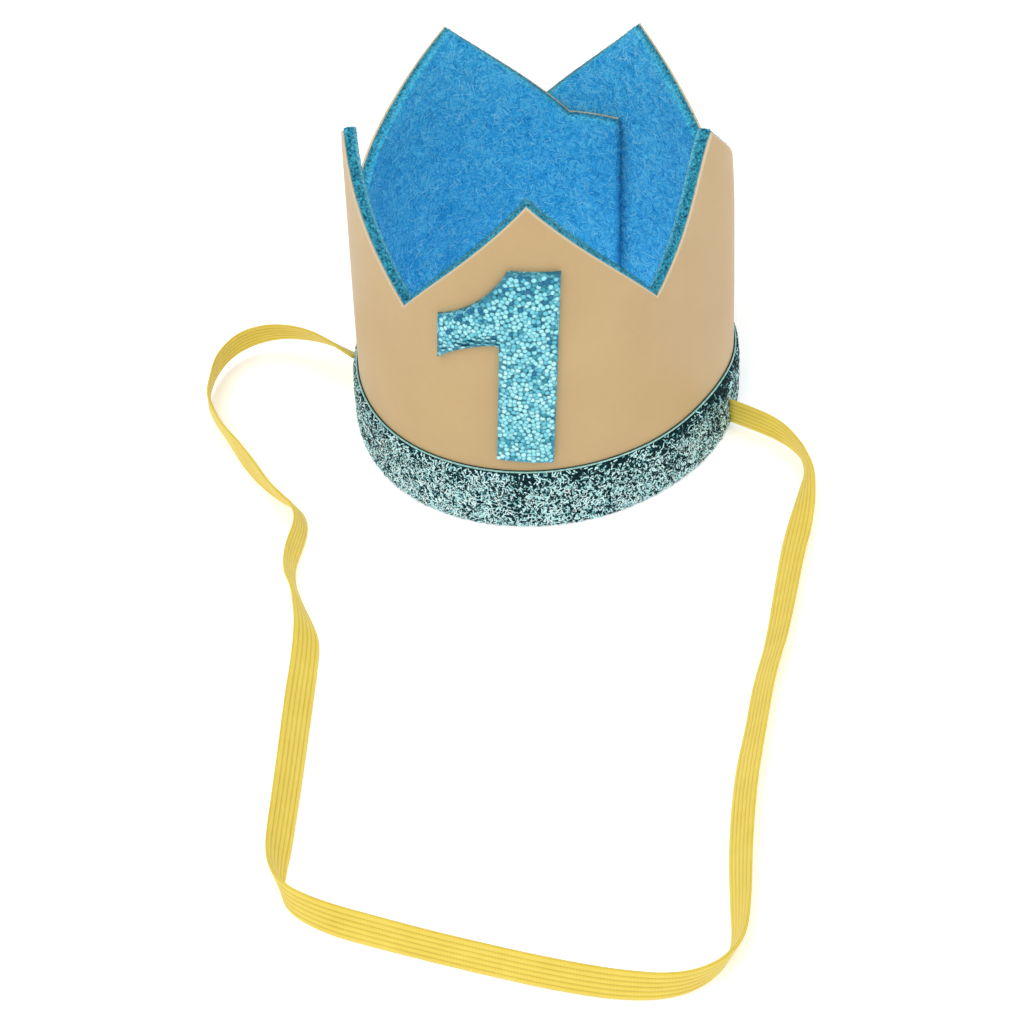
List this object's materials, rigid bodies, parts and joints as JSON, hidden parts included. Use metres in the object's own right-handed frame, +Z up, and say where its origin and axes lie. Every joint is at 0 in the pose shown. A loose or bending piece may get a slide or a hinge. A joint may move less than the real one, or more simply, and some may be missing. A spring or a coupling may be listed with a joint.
{
  "type": "birthday crown",
  "caption": "Child's birthday crown: a felt-lined faux leather ring with pointed top, glitter numeral one, glitter ribbon round the base and a flat elastic chin strap.",
  "frame": {"origin": "middle of the crown's ring on the surface it stands on", "axes": "+Z up through the ring, -Y towards the front with the numeral, +X to the viewer's right"},
  "size_m": [0.1729, 0.2748, 0.0994],
  "materials": {
    "leatherette": "soft satin golden faux leather",
    "felt": "thick blue felt",
    "glitter_trim": "fine turquoise glitter ribbon with woven edges",
    "glitter_numeral": "chunky turquoise glitter sheet",
    "elastic": "yellow ribbed flat elastic"
  },
  "bodies": {
    "root": {"leatherette_shell": "leatherette", "felt_lining": "felt", "glitter_trim_band": "glitter_trim", "numeral_one": "glitter_numeral", "elastic_band": "elastic"}
  },
  "joints": []
}
